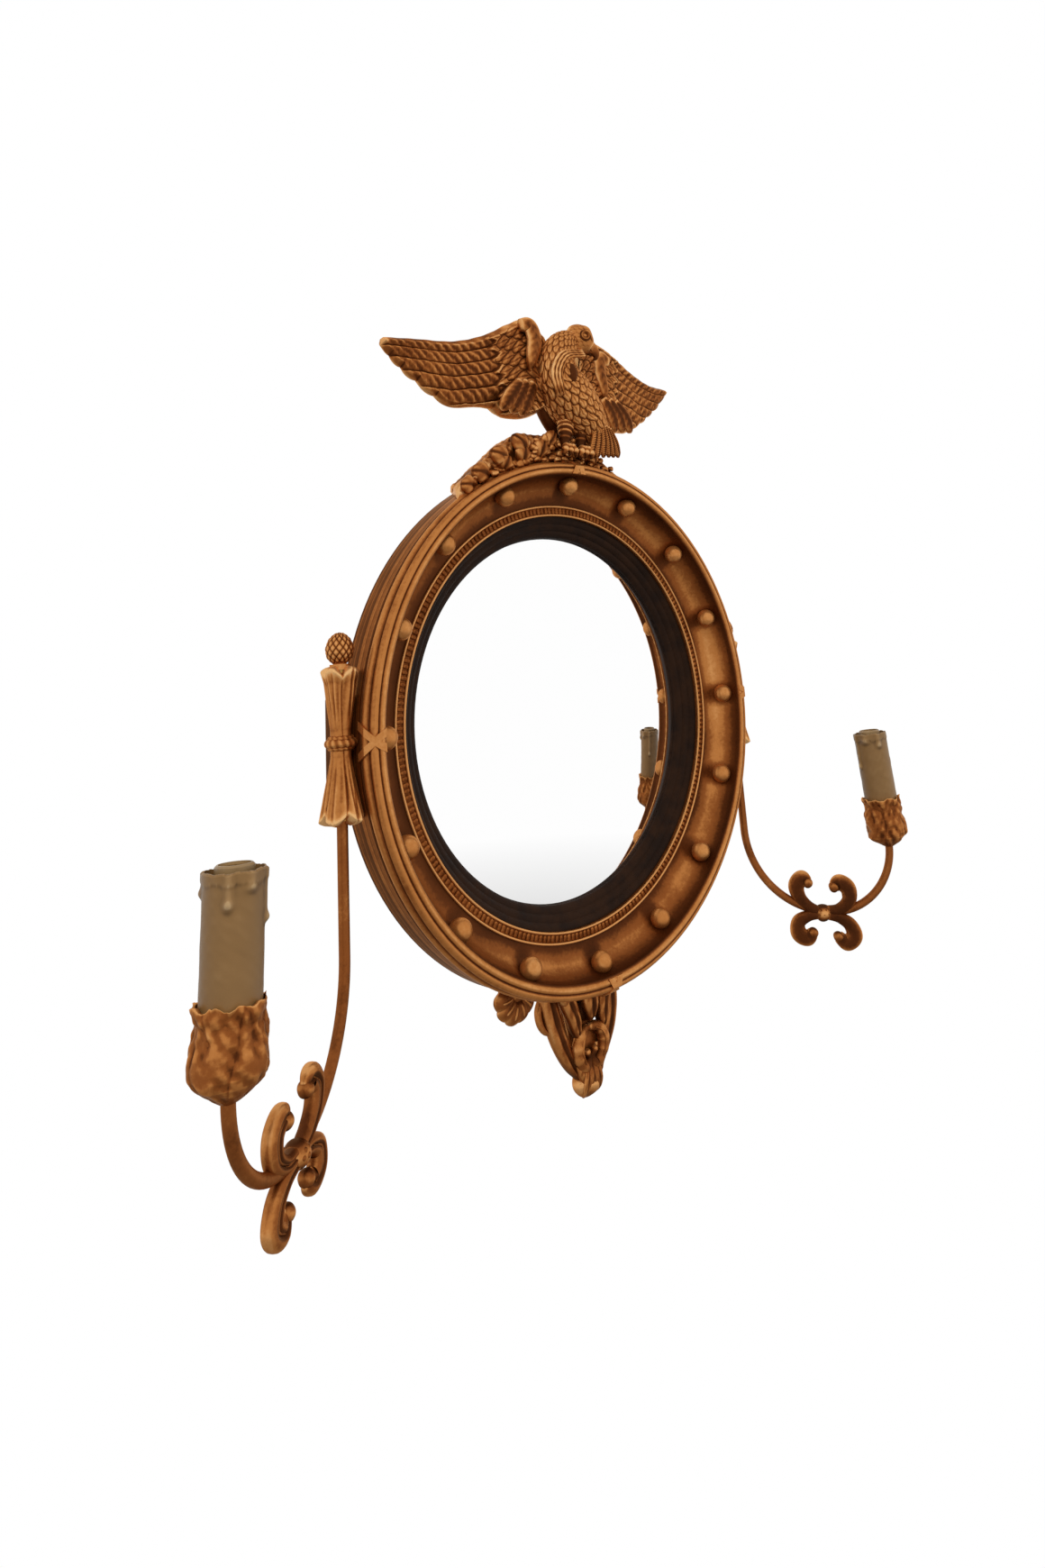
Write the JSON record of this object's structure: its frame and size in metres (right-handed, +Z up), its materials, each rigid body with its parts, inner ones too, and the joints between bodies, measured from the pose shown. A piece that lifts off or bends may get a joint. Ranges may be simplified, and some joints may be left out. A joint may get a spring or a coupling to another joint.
{
  "type": "girandole mirror",
  "caption": "Round convex wall mirror in a reeded gilt frame with balls in the cavetto, an eagle crest on a rocky plinth, an acanthus pendant and two swivelling candle arms.",
  "frame": {"origin": "middle of the back, on the wall", "axes": "+X to the right as seen from the front, +Y into the wall, +Z up"},
  "size_m": [0.6373, 0.1477, 0.5975],
  "materials": {
    "gilt_wood": "carved wood in antique bronze gilding",
    "ebonised_wood": "dark ebonised, satin",
    "silvered_glass": "convex silvered glass",
    "plain_wood": "bare",
    "felt": "felt",
    "steel": "zinc plated",
    "brass": "plain",
    "block_plastic": "moulded",
    "black_rubber": "matt",
    "gilt_metal": "cast and bent metal in antique bronze gilding",
    "cream_plastic": "cream",
    "candle_card": "brownish cream, waxy"
  },
  "bodies": {
    "frame": {"frame_ring": "gilt_wood", "cavetto_balls": "gilt_wood", "beaded_slip": "gilt_wood", "ebonised_slip": "ebonised_wood", "mirror_glass": "silvered_glass", "spacer_ring": "plain_wood", "felt_ring": "felt", "backing_board": "plain_wood", "board_screws": "steel", "hanger_plate": "brass", "hanger_screws": "steel", "terminal_block": "block_plastic", "terminal_screws": "brass", "inlet_grommet": "black_rubber", "ribbon_cross_top": "gilt_wood", "ribbon_cross_right": "gilt_wood", "ribbon_cross_bottom": "gilt_wood", "ribbon_cross_left": "gilt_wood", "sheaf_bracket_left": "gilt_metal", "sheaf_band_left": "gilt_metal", "pivot_bushes_left": "brass", "bracket_screws_left": "steel", "frame_lead_left": "black_rubber", "sheaf_bracket_right": "gilt_metal", "sheaf_band_right": "gilt_metal", "pivot_bushes_right": "brass", "bracket_screws_right": "steel", "frame_lead_right": "black_rubber", "eagle_body": "gilt_wood", "eagle_tail": "gilt_wood", "eagle_wing_left": "gilt_wood", "eagle_wing_right": "gilt_wood", "wing_dowels": "plain_wood", "eagle_plinth": "gilt_wood", "plinth_dowels": "plain_wood", "acanthus_pendant": "gilt_wood", "pendant_shell_left": "gilt_wood", "pendant_shell_right": "gilt_wood", "pendant_dowels": "plain_wood"},
    "arm_left": {"arm_tube_left": "gilt_metal", "arm_lead_left": "black_rubber", "finial_collar_left": "gilt_metal", "pine_finial_left": "gilt_metal", "scroll_knot_left": "gilt_metal", "socket_cup_left": "gilt_metal", "cup_nut_left": "brass", "lampholder_left": "cream_plastic", "socket_shell_left": "brass"},
    "sleeve_left": {"candle_sleeve_left": "candle_card"},
    "arm_right": {"arm_tube_right": "gilt_metal", "arm_lead_right": "black_rubber", "finial_collar_right": "gilt_metal", "pine_finial_right": "gilt_metal", "scroll_knot_right": "gilt_metal", "socket_cup_right": "gilt_metal", "cup_nut_right": "brass", "lampholder_right": "cream_plastic", "socket_shell_right": "brass"},
    "sleeve_right": {"candle_sleeve_right": "candle_card"}
  },
  "joints": [
    {"name": "swivel_left", "type": "hinge", "parent": "frame", "child": "arm_left", "pos_m": [-0.2057, -0.0297, 0], "axis": [0, 0, 1], "range_deg": [-36, 84]},
    {"name": "sleeve_lift_left", "type": "slide", "parent": "arm_left", "child": "sleeve_left", "axis": [0.0367, 0.0267, 0.999], "range_m": [0, 0.07]},
    {"name": "swivel_right", "type": "hinge", "parent": "frame", "child": "arm_right", "pos_m": [0.2057, -0.0297, 0], "axis": [0, 0, 1], "range_deg": [-70, 50]},
    {"name": "sleeve_lift_right", "type": "slide", "parent": "arm_right", "child": "sleeve_right", "axis": [-0.0292, 0.0347, 0.999], "range_m": [0, 0.07]}
  ]
}
